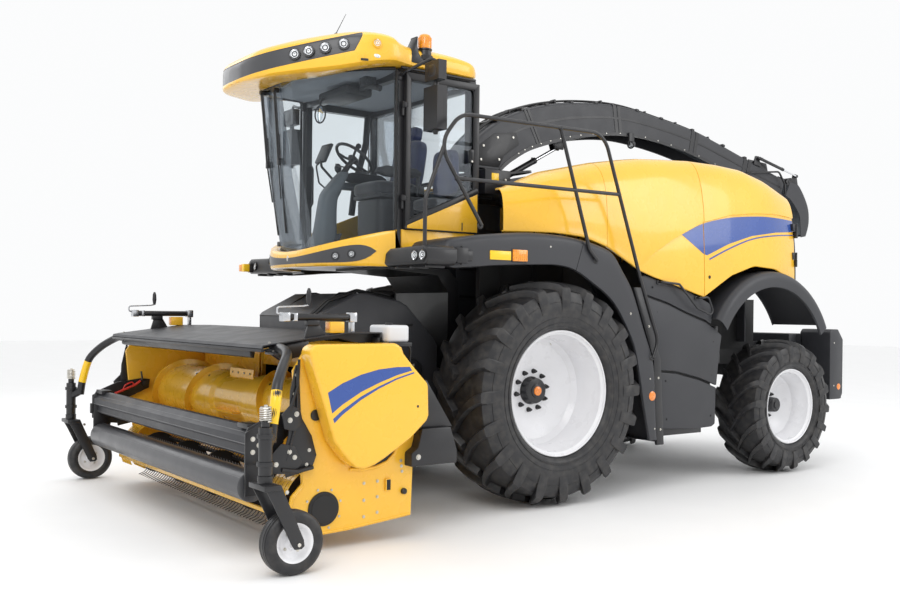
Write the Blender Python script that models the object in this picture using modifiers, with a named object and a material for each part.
"""Self-propelled forage harvester with a pick-up header, modelled in metres.

The machine faces -Y, its left side is +X and +Z is up. Every position below is measured
from the ground under the middle of the front axle. The last step moves the whole machine
along Y so that the world origin is the bottom centre of its box.
"""
import math

import bmesh
import bpy
from mathutils import Matrix, Vector

# Gap between two pieces that touch in the real machine
SEAT_GAP = 0.0003
# Gap between neighbouring body panels
PANEL_GAP = 0.008

# Wheels: radius, width, distance of the middle of the tyre from the centre line
FRONT_RADIUS = 1.005
FRONT_WIDTH = 0.71
FRONT_TRACK_HALF = 1.19
FRONT_RIM_RADIUS = 0.565
FRONT_HUB_X = 1.06
REAR_RADIUS = 0.725
REAR_WIDTH = 0.54
REAR_TRACK_HALF = 1.21
REAR_RIM_RADIUS = 0.41
REAR_HUB_X = 1.10
WHEELBASE = 3.42
KINGPIN_X = 0.86
STEER_ARM = 0.25
YOKE_HALF = 0.16
YOKE_PLATE = 0.05

# Places along the body are written for DRAWN_WHEELBASE. Another wheelbase moves all that lies
# behind MOVES_FROM_Y with the rear axle, and stretches the part from FIXED_UNTIL_Y to there.
DRAWN_WHEELBASE = 3.42
FIXED_UNTIL_Y = 1.08
MOVES_FROM_Y = 2.02


def with_axle(y):
    """A place along the body, moved with the rear axle."""
    share = min(1.0, max(0.0, (y - FIXED_UNTIL_Y) / (MOVES_FROM_Y - FIXED_UNTIL_Y)))
    return y + share * (WHEELBASE - DRAWN_WHEELBASE)


# Chassis
RAIL_X = 0.42
RAIL_WIDTH = 0.12
RAIL_BOTTOM = 1.14
RAIL_TOP = 1.40
RAIL_FRONT_Y = -0.42
RAIL_REAR_Y = with_axle(4.28)
RAIL_SIDE = RAIL_X + RAIL_WIDTH / 2
CROSS_MEMBERS_Y = (0.60, with_axle(1.60), with_axle(4.18))
ENGINE_HALF = 0.55
ENGINE_FRONT_Y = with_axle(2.25)
ENGINE_REAR_Y = with_axle(3.35)
ENGINE_TOP = 2.30

# Cab
CAB_HALF = 0.88
DRAWN_CAB_HALF = 0.88
NOSE_HALF = CAB_HALF + 0.08
CAB_POST_Y = -1.35
CAB_REAR_Y = -0.52
CAB_NOSE_Y = -1.83
GLASS_TOP_Y = -2.12
GLASS_BOTTOM = 2.215
ROOF_BOTTOM = 3.80
CAB_FLOOR_BOTTOM = 2.12
CAB_FLOOR_TOP = 2.20
CAB_TOP = 3.80
POST_SIZE = 0.07
GLASS_THICKNESS = 0.008
DOOR_THICKNESS = 0.035
DOOR_BOTTOM = 2.43
DOOR_HINGE_X = CAB_HALF + 0.02
DOOR_HINGE_Y = -1.315
DOOR_HINGE_LEVELS = (2.60, 3.40)

# Body panels
BODY_HALF = 1.40
BODY_TOP_HALF = 1.12
PANEL_THICKNESS = 0.025
SEAM_FRONT_Y = -0.42
SEAM_REAR_Y = with_axle(2.02)
BODY_REAR_Y = with_axle(3.66)
REAR_WALL_Y = BODY_REAR_Y + PANEL_GAP
REAR_WALL_THICKNESS = 0.035
SIDE_HINGE_X = 1.318
SIDE_HINGE_Y = BODY_REAR_Y + 0.002
SIDE_HINGE_LEVELS = (2.34, 2.66)
HINGE_PIN_RADIUS = 0.012

# Fenders
FENDER_OUTER_X = 1.50
FENDER_INNER_X = 0.98
FENDER_PLATE = 0.03
REAR_ARCH_CENTRE = (with_axle(3.12), 1.10)
REAR_ARCH_RADIUS = 1.09

# Spout
SPOUT_AXIS_Y = 0.12
SPOUT_TURN_Z = 2.96
SPOUT_PIVOT_Y = -0.08
SPOUT_PIVOT_Z = 3.25
SPOUT_HALF = 0.19
SPOUT_WALL = 0.012
DEFLECTOR_PIVOT_Y = 5.10
DEFLECTOR_PIVOT_Z = 3.44
CRADLE_Y = with_axle(3.36)
CRADLE_UNDER_SPOUT = 0.11

# Header
LIFT_PIVOT_Y = -0.60
LIFT_PIVOT_Z = 1.05
FEEDER_HALF = 0.60
HEADER_HALF = 1.78
HEADER_SHEET = 0.04
HEADER_BACK_Y = -1.93
REEL_Y = -2.56
REEL_Z = 0.32
REEL_TIP_RADIUS = 0.285
REEL_HALF = HEADER_HALF - 0.28
AUGER_Y = -2.29
AUGER_Z = 0.93
AUGER_DRUM_RADIUS = 0.17
AUGER_FLIGHT_RADIUS = 0.30
AUGER_FLIGHT_END = HEADER_HALF - 0.12
GUARD_PIVOT_Y = -2.62
GUARD_PIVOT_Z = 0.98
ROLLER_Y = -3.05
ROLLER_Z = 0.50
ROLLER_RADIUS = 0.11
CASTOR_X = HEADER_HALF + 0.44
CASTOR_Y = -3.20
CASTOR_JOINT_Z = 0.66
GAUGE_Y = -3.01
GAUGE_RADIUS = 0.212
GAUGE_WIDTH = 0.14

# Rams: (base y, base z, eye y, eye z, side x, barrel radius, rod radius, barrel length)
HEADER_RAM = (-0.12, FRONT_RADIUS - 0.305, -1.40, 0.46, 0.40, 0.050, 0.028, 0.80)
SPOUT_RAM = (0.46, 3.08, 1.25, 3.50, 0.0, 0.034, 0.018, 0.55)
DEFLECTOR_RAM = (4.45, 3.68, 5.22, 3.52, SPOUT_HALF + 0.025, 0.020, 0.010, 0.50)
HEADER_RAM_SHAFT = 0.030
SPOUT_RAM_SHAFT = 0.015

YELLOW = ("body_yellow", (0.93, 0.55, 0.02), 0.30, 0.0)
DARK = ("dark_plastic", (0.035, 0.036, 0.040), 0.55, 0.0)
FRAME_BLACK = ("frame_black", (0.015, 0.015, 0.017), 0.45, 0.0)
STEEL = ("bright_steel", (0.55, 0.56, 0.58), 0.30, 1.0)
RIM_WHITE = ("rim_white", (0.80, 0.81, 0.84), 0.35, 0.0)
RUBBER = ("rubber", (0.020, 0.020, 0.022), 0.80, 0.0)
GLASS = ("cab_glass", (0.75, 0.80, 0.82), 0.05, 0.0)
SEAT_CLOTH = ("seat_cloth", (0.05, 0.06, 0.14), 0.85, 0.0)

AXES = {"x": Vector((1, 0, 0)), "y": Vector((0, 1, 0)), "z": Vector((0, 0, 1))}


# Scene and material helpers
def clear_scene():
    for obj in list(bpy.data.objects):
        bpy.data.objects.remove(obj)


def new_collection(name):
    made = bpy.data.collections.new(name)
    bpy.context.scene.collection.children.link(made)
    return made


def material(spec):
    name, colour, roughness, metallic = spec
    made = bpy.data.materials.get(name)
    if made is None:
        made = bpy.data.materials.new(name)
        made.use_nodes = True
        shader = made.node_tree.nodes["Principled BSDF"]
        shader.inputs["Base Color"].default_value = (*colour, 1.0)
        shader.inputs["Roughness"].default_value = roughness
        shader.inputs["Metallic"].default_value = metallic
        made.diffuse_color = (*colour, 1.0)
    return made


def mesh_object(name, bm):
    """A new object from bm, its points on a grid of 0.01 mm so that flush faces are exactly flush."""
    for vert in bm.verts:
        vert.co = Vector([round(value, 5) for value in vert.co])
    mesh = bpy.data.meshes.new(name)
    bm.to_mesh(mesh)
    bm.free()
    obj = bpy.data.objects.new(name, mesh)
    workshop.objects.link(obj)
    return obj


def applied(obj, name="piece"):
    """The object as its modifiers and curve settings make it, as a new plain mesh object."""
    bpy.context.view_layer.update()
    graph = bpy.context.evaluated_depsgraph_get()
    mesh = bpy.data.meshes.new_from_object(obj.evaluated_get(graph))
    mesh.transform(obj.matrix_world)
    bm = bmesh.new()
    bm.from_mesh(mesh)
    bmesh.ops.remove_doubles(bm, verts=bm.verts, dist=0.00001)
    bmesh.ops.recalc_face_normals(bm, faces=bm.faces)
    bpy.data.objects.remove(obj)
    bpy.data.meshes.remove(mesh)
    return mesh_object(name, bm)


# Shapes
def box(low, high):
    low, high = Vector(low), Vector(high)
    bm = bmesh.new()
    size = Matrix.Diagonal((*(high - low), 1.0))
    bmesh.ops.create_cube(bm, size=1.0, matrix=Matrix.Translation((low + high) / 2) @ size)
    return mesh_object("box", bm)


def rod(start, end, radius, radius_end=None, segments=16):
    """A cylinder, or a cone where radius_end is given, from start to end."""
    start, end = Vector(start), Vector(end)
    along = end - start
    turn = along.to_track_quat("Z", "Y").to_matrix().to_4x4()
    bm = bmesh.new()
    bmesh.ops.create_cone(
        bm,
        cap_ends=True,
        segments=segments,
        radius1=radius,
        radius2=radius if radius_end is None else radius_end,
        depth=along.length,
        matrix=Matrix.Translation((start + end) / 2) @ turn,
    )
    return mesh_object("rod", bm)


def plate(outline, axis, low, high):
    """A flat outline with thickness along axis.

    Its points are (y, z) for x, (x, z) for y and (x, y) for z.
    """
    curve = bpy.data.curves.new("outline", "CURVE")
    curve.dimensions = "2D"
    curve.fill_mode = "BOTH"
    curve.extrude = abs(high - low) / 2
    spline = curve.splines.new("POLY")
    spline.points.add(len(outline) - 1)
    for point, (a, b) in zip(spline.points, outline):
        point.co = (a, b, 0.0, 1.0)
    spline.use_cyclic_u = True
    obj = bpy.data.objects.new("outline", curve)
    workshop.objects.link(obj)
    columns = {
        "x": (AXES["y"], AXES["z"], AXES["x"]),
        "y": (AXES["x"], AXES["z"], -AXES["y"]),
        "z": (AXES["x"], AXES["y"], AXES["z"]),
    }[axis]
    turn = Matrix([[column[i] for column in columns] for i in range(3)]).to_4x4()
    obj.matrix_world = Matrix.Translation(AXES[axis] * (low + high) / 2) @ turn
    return applied(obj)


def arc(centre, radius, start_deg, end_deg, steps):
    """Points of an arc, as pairs of numbers."""
    angles = [math.radians(start_deg + (end_deg - start_deg) * i / steps) for i in range(steps + 1)]
    return [(centre[0] + radius * math.cos(a), centre[1] + radius * math.sin(a)) for a in angles]


def rounded_path(points, radius, steps=4):
    """The path with each inner corner replaced by an arc of that radius."""
    points = [Vector(p) for p in points]
    path = [points[0]]
    for before, corner, after in zip(points, points[1:], points[2:]):
        inward, outward = (before - corner).normalized(), (after - corner).normalized()
        half = inward.angle(outward) / 2
        reach = min(radius / math.tan(half), (before - corner).length * 0.45, (after - corner).length * 0.45)
        bend = reach * math.tan(half)
        middle = corner + (inward + outward).normalized() * bend / math.sin(half)
        first, last = corner + inward * reach - middle, corner + outward * reach - middle
        for i in range(steps + 1):
            path.append(middle + first.slerp(last, i / steps).normalized() * bend)
    return path + [points[-1]]


def tube(points, radius, bend=0.0, resolution=2):
    """A round bar along the points, with bends of the given radius."""
    path = rounded_path(points, bend) if bend else [Vector(p) for p in points]
    curve = bpy.data.curves.new("tube", "CURVE")
    curve.dimensions = "3D"
    curve.bevel_depth = radius
    curve.bevel_resolution = resolution
    curve.use_fill_caps = True
    spline = curve.splines.new("POLY")
    spline.points.add(len(path) - 1)
    for point, place in zip(spline.points, path):
        point.co = (*place, 1.0)
    obj = bpy.data.objects.new("tube", curve)
    workshop.objects.link(obj)
    return applied(obj)


def turned(profile, centre, axis="x", steps=32):
    """A closed profile of (along, radius) points turned about an axis through centre.

    axis is a letter, or a vector for a slanting one.
    """
    bm = bmesh.new()
    corners = [bm.verts.new((radius, 0.0, along)) for along, radius in profile]
    for a, b in zip(corners, corners[1:] + corners[:1]):
        bm.edges.new((a, b))
    obj = mesh_object("turned", bm)
    screw = obj.modifiers.new("screw", "SCREW")
    screw.steps = screw.render_steps = steps
    screw.use_merge_vertices = True
    screw.merge_threshold = 0.00001
    direction = AXES[axis] if axis in ("x", "y", "z") else Vector(axis)
    turn = direction.to_track_quat("Z", "Y").to_matrix().to_4x4()
    obj.matrix_world = Matrix.Translation(centre) @ turn
    return applied(obj)


def sheet(rows, thickness, closed=False, skip=()):
    """A sheet through rows of points, thickened on the side away from its normal.

    Each row has the same number of points. skip names the (row, column) cells left open.
    """
    bm = bmesh.new()
    grid = [[bm.verts.new(p) for p in row] for row in rows]
    count = len(rows[0])
    for r in range(len(rows) - 1):
        for c in range(count if closed else count - 1):
            if (r, c) not in skip:
                d = (c + 1) % count
                bm.faces.new((grid[r][c], grid[r + 1][c], grid[r + 1][d], grid[r][d]))
    obj = mesh_object("sheet", bm)
    solidify = obj.modifiers.new("solidify", "SOLIDIFY")
    solidify.thickness = thickness
    solidify.offset = -1.0
    solidify.use_even_offset = True
    return applied(obj)


def loft(sections):
    """A solid through sections of points, each section with the same number of points."""
    bm = bmesh.new()
    grid = [[bm.verts.new(p) for p in section] for section in sections]
    count = len(sections[0])
    for first, second in zip(grid, grid[1:]):
        for c in range(count):
            d = (c + 1) % count
            bm.faces.new((first[c], second[c], second[d], first[d]))
    bm.faces.new(grid[0])
    bm.faces.new(grid[-1])
    bmesh.ops.recalc_face_normals(bm, faces=bm.faces)
    return mesh_object("loft", bm)


def bore_radius(radius, segments):
    """The radius of a bore with that many sides, in which a shaft with as many can turn."""
    return (radius + SEAT_GAP) / math.cos(math.pi / segments)


def joined(base, others, operation="UNION"):
    """The base with all the others joined to it, or cut from it, in one Boolean."""
    if not others:
        return base
    tools = bpy.data.collections.new("tools")
    bpy.context.scene.collection.children.link(tools)
    for other in others:
        tools.objects.link(other)
    boolean = base.modifiers.new(operation, "BOOLEAN")
    boolean.operation = operation
    boolean.operand_type = "COLLECTION"
    boolean.collection = tools
    made = applied(base)
    for other in others:
        bpy.data.objects.remove(other)
    bpy.data.collections.remove(tools)
    return made


def node(name, solids, finish, parent, cuts=()):
    """One named piece: the solids joined into one body, less the cuts."""
    base = joined(joined(solids[0], solids[1:]), cuts, "DIFFERENCE")
    base.name = name
    base.data.name = name
    base.data.materials.clear()
    base.data.materials.append(material(finish))
    base.data.shade_smooth()
    base.data.set_sharp_from_angle(angle=math.radians(35))
    workshop.objects.unlink(base)
    parts.objects.link(base)
    base.parent = parent
    base.matrix_parent_inverse = Matrix.Translation(parent_place(parent)).inverted()
    return base


def parent_place(empty):
    """Where an empty stands in the machine's frame: its own place plus its parents'."""
    place = Vector(empty.location)
    while empty.parent is not None:
        empty = empty.parent
        place += Vector(empty.location)
    return place


def pivot(name, place, parent):
    """An empty on a joint's axis, which carries the pieces that move together."""
    empty = bpy.data.objects.new(name, None)
    empty.empty_display_size = 0.2
    empty.location = Vector(place) - parent_place(parent)
    empty.parent = parent
    parts.objects.link(empty)
    return empty


def both_sides(make):
    """Runs make(side name, +1 or -1) for the left and the right side."""
    for side, sign in (("left", 1), ("right", -1)):
        make(side, sign)


def at(sign, x, y, z):
    return (sign * x, y, z)


def side_box(sign, x_low, x_high, y_low, y_high, z_low, z_high):
    """A box on the left side of the machine, or its mirror image where sign is -1."""
    xs = sorted((sign * x_low, sign * x_high))
    return box((xs[0], y_low, z_low), (xs[1], y_high, z_high))


def side_plate(sign, outline, x_low, x_high):
    """A plate across X on the left side of the machine, or its mirror image."""
    return plate(outline, "x", *sorted((sign * x_low, sign * x_high)))


def side_rod(sign, y, z, x_start, x_end, radius, segments=16):
    """A round bar along X on the left side of the machine, or its mirror image."""
    return rod(at(sign, x_start, y, z), at(sign, x_end, y, z), radius, segments=segments)


def upright(sign, x, y, z_low, z_high, radius, segments=16):
    """A round bar along Z on the left side of the machine, or its mirror image."""
    return rod(at(sign, x, y, z_low), at(sign, x, y, z_high), radius, segments=segments)


def ram(spec, sides=(1, -1)):
    """The barrel and the rod of each ram, as two lists of solids, with a shaft through their ends."""
    base_y, base_z, eye_y, eye_z, side_x, barrel_radius, rod_radius, barrel_length = spec
    bottom = 0.08 * barrel_length
    barrels, rods = [], []
    for sign in sides:
        base, eye = Vector((sign * side_x, base_y, base_z)), Vector((sign * side_x, eye_y, eye_z))
        along = (eye - base).normalized()
        bore = rod_radius + 2 * SEAT_GAP
        profile = [
            (barrel_length, bore),
            (barrel_length, barrel_radius),
            (0.0, barrel_radius),
            (0.0, 0.0),
            (bottom, 0.0),
            (bottom, bore),
        ]
        barrels.append(turned(profile, base, along, steps=12))
        reach, inner_end = (eye - base).length, 0.35 * barrel_length
        profile = [(reach, 0.0), (reach, rod_radius), (inner_end, rod_radius), (inner_end, 0.0)]
        rods.append(turned(profile, base, along, steps=12))
    return barrels, rods


# Wheels and axles
def tyre_profile(width, radius, rim_radius, shoulder):
    half = width / 2
    return [
        (-half * 0.80, rim_radius),
        (-half * 0.98, rim_radius + (radius - rim_radius) * 0.30),
        (-half, radius - shoulder * 1.6),
        (-half * 0.93, radius - shoulder * 0.45),
        (-half * 0.72, radius),
        (half * 0.72, radius),
        (half * 0.93, radius - shoulder * 0.45),
        (half, radius - shoulder * 1.6),
        (half * 0.98, rim_radius + (radius - rim_radius) * 0.30),
        (half * 0.80, rim_radius),
    ]


def rim_profile(width, radius, hub_offset, hub_radius, hub_reach):
    """A dished wheel: its rim barrel, a disc hub_offset from the middle, and the hub's end on the disc."""
    half = width * 0.40
    scale = radius / FRONT_RIM_RADIUS
    disc = 0.020
    return [
        (half, radius - SEAT_GAP),
        (half, radius - 0.060),
        (hub_offset + disc + 0.10, radius - 0.095),
        (hub_offset + disc, 0.24 * scale),
        (hub_offset + disc, hub_radius),
        (hub_offset + hub_reach, hub_radius),
        (hub_offset + hub_reach, 0.0),
        (hub_offset, 0.0),
        (hub_offset, 0.26 * scale),
        (hub_offset + 0.06, radius - 0.107),
        (-half, radius - 0.075),
        (-half, radius - SEAT_GAP),
        (-half * 0.88, radius - 0.055),
        (half * 0.88, radius - 0.055),
    ]


def flipped(profile, sign):
    return profile if sign > 0 else [(-along, radius) for along, radius in reversed(profile)]


def front_wheel(side, sign):
    centre = at(sign, FRONT_TRACK_HALF, 0.0, FRONT_RADIUS)
    axle_end = pivot(f"front_wheel_{side}_axis", centre, machine)
    tyre = turned(tyre_profile(FRONT_WIDTH, FRONT_RADIUS, FRONT_RIM_RADIUS, 0.16), centre, steps=24)
    node(f"front_tyre_{side}", [tyre], RUBBER, axle_end)
    profile = rim_profile(FRONT_WIDTH, FRONT_RIM_RADIUS, FRONT_HUB_X - FRONT_TRACK_HALF, 0.13, 0.09)
    node(f"front_rim_{side}", [turned(flipped(profile, sign), centre, steps=24)], RIM_WHITE, axle_end)


def rear_wheel(side, sign, knuckle):
    centre = at(sign, REAR_TRACK_HALF, WHEELBASE, REAR_RADIUS)
    axle_end = pivot(f"rear_wheel_{side}_axis", centre, knuckle)
    tyre = turned(tyre_profile(REAR_WIDTH, REAR_RADIUS, REAR_RIM_RADIUS, 0.12), centre, steps=24)
    node(f"rear_tyre_{side}", [tyre], RUBBER, axle_end)
    profile = rim_profile(REAR_WIDTH, REAR_RIM_RADIUS, REAR_HUB_X - REAR_TRACK_HALF, 0.095, 0.13)
    node(f"rear_rim_{side}", [turned(flipped(profile, sign), centre, steps=24)], RIM_WHITE, axle_end)


def front_axle():
    """The beam with its final drives, and lugs for the shaft of the header's rams."""
    middle = box((-0.62, -0.17, FRONT_RADIUS - 0.16), (0.62, 0.17, RAIL_BOTTOM - SEAT_GAP))
    solids = [middle]
    lug_top, lug_bottom = FRONT_RADIUS - 0.145, FRONT_RADIUS - 0.355
    lug = [(-0.17, lug_top), (-0.05, lug_top), (-0.06, lug_bottom), (-0.18, lug_bottom)]
    for sign in (1, -1):
        solids.append(side_rod(sign, 0, FRONT_RADIUS, 0.55, 0.95, 0.16, segments=20))
        solids.append(side_rod(sign, 0, FRONT_RADIUS, 0.90, FRONT_HUB_X - SEAT_GAP, 0.22, segments=24))
        solids.append(side_plate(sign, lug, 0.23, 0.27))
    base_y, base_z = HEADER_RAM[:2]
    bore = bore_radius(HEADER_RAM_SHAFT, 20)
    shaft_hole = rod((-0.5, base_y, base_z), (0.5, base_y, base_z), bore, segments=20)
    node("front_axle", solids, FRAME_BLACK, machine, cuts=[shaft_hole])


def rear_axle():
    """The steered axle: a beam with a yoke at each end, and the barrel of its steering ram."""
    front, rear = WHEELBASE - 0.09, WHEELBASE + 0.09
    beam = box((-0.62, front, REAR_RADIUS - 0.10), (0.62, rear, REAR_RADIUS + 0.12))
    saddle = box(
        (-0.20, WHEELBASE - 0.14, REAR_RADIUS + 0.05),
        (0.20, WHEELBASE + 0.14, RAIL_BOTTOM - SEAT_GAP),
    )
    solids = [beam, saddle]
    yoke_bottom = REAR_RADIUS - YOKE_HALF - YOKE_PLATE
    yoke_top = REAR_RADIUS + YOKE_HALF
    for sign in (1, -1):
        solids.append(side_box(sign, 0.60, 0.68, front, rear, yoke_bottom, yoke_top + YOKE_PLATE))
        for level in (yoke_bottom, yoke_top):
            solids.append(side_box(
                sign, 0.62, KINGPIN_X + 0.06, WHEELBASE - 0.07, WHEELBASE + 0.07, level, level + YOKE_PLATE
            ))
    y, z = WHEELBASE + STEER_ARM, REAR_RADIUS + 0.02
    barrel = rod((-0.24, y, z), (0.24, y, z), 0.05)
    bracket = box((-0.05, WHEELBASE + 0.05, REAR_RADIUS - 0.02), (0.05, y, REAR_RADIUS + 0.06))
    bore = rod((-0.3, y, z), (0.3, y, z), 0.018 + 2 * SEAT_GAP, segments=12)
    node("rear_axle", solids + [bracket, barrel], FRAME_BLACK, machine, cuts=[bore])


def knuckle(side, sign):
    kingpin = pivot(f"steering_{side}_axis", at(sign, KINGPIN_X, WHEELBASE, REAR_RADIUS), machine)
    reach = YOKE_HALF - SEAT_GAP
    post = upright(sign, KINGPIN_X, WHEELBASE, REAR_RADIUS - reach, REAR_RADIUS + reach, 0.055)
    stub = side_rod(sign, WHEELBASE, REAR_RADIUS, KINGPIN_X, REAR_HUB_X - SEAT_GAP, 0.085)
    arm_end = WHEELBASE + STEER_ARM + 0.04
    outline = [
        (sign * (KINGPIN_X - 0.035), WHEELBASE),
        (sign * (KINGPIN_X + 0.035), WHEELBASE),
        (sign * (KINGPIN_X + 0.010), arm_end),
        (sign * (KINGPIN_X - 0.050), arm_end),
    ]
    arm = plate(outline, "z", REAR_RADIUS - 0.085, REAR_RADIUS - 0.050)
    node(f"steering_knuckle_{side}", [post, stub, arm], FRAME_BLACK, kingpin)
    rear_wheel(side, sign, kingpin)


def steering_rod():
    y, z = WHEELBASE + STEER_ARM, REAR_RADIUS + 0.02
    axis = pivot("steering_rod_axis", (0, y, z), machine)
    eye_x = KINGPIN_X - 0.02
    solids = [rod((-eye_x, y, z), (eye_x, y, z), 0.018, segments=12)]
    for sign in (1, -1):
        eye_low = REAR_RADIUS - 0.050 + SEAT_GAP
        solids.append(upright(sign, eye_x, y, eye_low, z + 0.03, 0.028, segments=12))
    node("steering_rod", solids, STEEL, axis)


# Chassis
# The ear that carries one of the header's trunnions, as (y, z)
TRUNNION_EAR = (
    (-0.72, 0.93),
    (-0.72, 1.17),
    (-0.50, RAIL_TOP),
    (-0.36, RAIL_TOP),
    (-0.36, RAIL_BOTTOM),
    (-0.48, 0.93),
)


def chassis():
    """Two rails with their cross members, and an ear on each side for the header's trunnions."""
    solids = []
    ear_end = FEEDER_HALF + 0.08
    for sign in (1, -1):
        solids.append(side_box(
            sign, RAIL_SIDE - RAIL_WIDTH, RAIL_SIDE, RAIL_FRONT_Y, RAIL_REAR_Y, RAIL_BOTTOM, RAIL_TOP
        ))
        solids.append(side_plate(sign, TRUNNION_EAR, FEEDER_HALF + 0.02, ear_end))
    solids.append(box((-ear_end, -0.46, RAIL_BOTTOM), (ear_end, -0.36, RAIL_TOP)))
    for y in CROSS_MEMBERS_Y:
        solids.append(box((-RAIL_X, y - 0.05, RAIL_BOTTOM + 0.02), (RAIL_X, y + 0.05, RAIL_TOP - 0.02)))
    solids.append(box(
        (-RAIL_X, WHEELBASE - 0.15, RAIL_BOTTOM), (RAIL_X, WHEELBASE + 0.15, RAIL_BOTTOM + 0.14)
    ))
    node("chassis_frame", solids, FRAME_BLACK, machine)


def outrigger(sign, y, reach, top):
    """A bracket from the chassis rail out to reach, with a strut up to top at its end."""
    low, half = RAIL_BOTTOM + 0.08, 0.04
    arm = side_box(sign, RAIL_SIDE + SEAT_GAP, reach, y - half, y + half, low, low + 0.10)
    strut = side_box(sign, reach - 0.08, reach, y - half, y + half, low, top)
    return [arm, strut]


def engine():
    block = box(
        (-ENGINE_HALF, ENGINE_FRONT_Y, RAIL_TOP + SEAT_GAP), (ENGINE_HALF, ENGINE_REAR_Y, ENGINE_TOP)
    )
    node("engine_block", [block], FRAME_BLACK, machine)


# Cab
def nose_y(x, front, corner, half):
    """How far forward a curved cab front reaches at x: front on the centre line, corner at half."""
    return front + (corner - front) * (abs(x) / half) ** 3


def across(half, steps=12):
    """Places across the cab, from one side to the other."""
    return [-half + 2 * half * i / steps for i in range(steps + 1)]


def cab_ring(front, corner, half, rear):
    """Plan outline of the cab: a curved front between the corners and a straight rear."""
    outline = [(x, nose_y(x, front, corner, half)) for x in across(half)]
    return outline + [(half, rear), (-half, rear)]


# The console that carries the cab on the chassis, as (y, z)
CAB_LEG = (
    (-0.50, RAIL_TOP + SEAT_GAP),
    (-0.38, RAIL_TOP + SEAT_GAP),
    (-0.38, 2.00),
    (-0.52, 2.14),
    (-1.20, 2.14),
    (-1.20, 2.10),
    (-0.62, 2.06),
    (-0.50, 1.90),
)
CAB_RAIL = 0.08
REAR_SILL = 2.75
DOOR_KNUCKLE = 0.06


def cab_shell():
    """The cab's floor, posts, rails and mirrors, and the body's half of the door hinges."""
    floor_ring = cab_ring(CAB_NOSE_Y, CAB_POST_Y, CAB_HALF, CAB_REAR_Y)
    floor = plate(floor_ring, "z", CAB_FLOOR_BOTTOM, CAB_FLOOR_TOP)
    solids = [floor, plate(CAB_LEG, "x", -0.45, 0.45)]
    lower, upper = CAB_FLOOR_TOP - 0.02, CAB_TOP - SEAT_GAP
    inner = CAB_HALF - POST_SIZE
    for sign in (1, -1):
        for y in (CAB_POST_Y, CAB_REAR_Y - POST_SIZE):
            solids.append(side_box(sign, inner, CAB_HALF, y, y + POST_SIZE, lower, upper))
        for low, high in ((lower, DOOR_BOTTOM - 0.01), (upper - CAB_RAIL, upper)):
            solids.append(side_box(sign, inner, CAB_HALF, CAB_POST_Y, CAB_REAR_Y, low, high))
        solids += mirror(sign)
    for level, height in ((lower, 0.10), (REAR_SILL, CAB_RAIL), (upper - CAB_RAIL, CAB_RAIL)):
        low = (-CAB_HALF, CAB_REAR_Y - POST_SIZE, level)
        solids.append(box(low, (CAB_HALF, CAB_REAR_Y, level + height)))
    low = (-CAB_HALF, CAB_POST_Y, upper - CAB_RAIL)
    solids.append(box(low, (CAB_HALF, CAB_POST_Y + POST_SIZE, upper)))
    for level in DOOR_HINGE_LEVELS:
        high = level + DOOR_KNUCKLE
        solids.append(upright(1, DOOR_HINGE_X, DOOR_HINGE_Y, level, high, HINGE_PIN_RADIUS, segments=10))
        low = (CAB_HALF - 0.02, DOOR_HINGE_Y - 0.008, level)
        solids.append(box(low, (DOOR_HINGE_X, DOOR_HINGE_Y + 0.008, high)))
    node("cab_frame", solids, FRAME_BLACK, machine)


def mirror(sign):
    """The two mirrors of one side on their arm, which leaves the front post."""
    middle = CAB_HALF + 0.42
    route = [
        at(sign, CAB_HALF - 0.03, -1.333, 3.74),
        at(sign, CAB_HALF + 0.12, -1.34, 3.76),
        at(sign, middle, -1.25, 3.84),
        at(sign, middle, -1.25, 3.20),
    ]
    arm = tube(route, 0.014, bend=0.06, resolution=1)
    upper = side_box(sign, middle - 0.10, middle + 0.10, -1.30, -1.22, 3.63, 3.79)
    lower = side_box(sign, middle - 0.10, middle + 0.10, -1.31, -1.21, 3.22, 3.58)
    return [arm, upper, lower]


def windscreen():
    rows = []
    middle = (2.90, CAB_NOSE_Y + 0.52 * (GLASS_TOP_Y - CAB_NOSE_Y))
    for level, front in ((GLASS_BOTTOM, CAB_NOSE_Y), middle, (CAB_TOP - 0.01, GLASS_TOP_Y)):
        corner = CAB_POST_Y - SEAT_GAP
        rows.append([(x, nose_y(x, front, corner, CAB_HALF), level) for x in across(CAB_HALF)])
    node("windscreen", [sheet(rows, GLASS_THICKNESS)], GLASS, machine)


def cab_glass():
    """The panes of the right side and of the rear, each inside its frame."""
    x, y = CAB_HALF - 0.03, CAB_REAR_Y - 0.03
    y_low, y_high = CAB_POST_Y + POST_SIZE + SEAT_GAP, CAB_REAR_Y - POST_SIZE - SEAT_GAP
    z_low, z_high = DOOR_BOTTOM - 0.01 + SEAT_GAP, CAB_TOP - CAB_RAIL - 2 * SEAT_GAP
    side = side_box(-1, x - GLASS_THICKNESS, x, y_low, y_high, z_low, z_high)
    node("cab_glass_right", [side], GLASS, machine)
    half, sill = CAB_HALF - POST_SIZE - SEAT_GAP, REAR_SILL + CAB_RAIL + 2 * SEAT_GAP
    rear = box((-half, y, sill), (half, y + GLASS_THICKNESS, z_high))
    node("cab_glass_rear", [rear], GLASS, machine)


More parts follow.
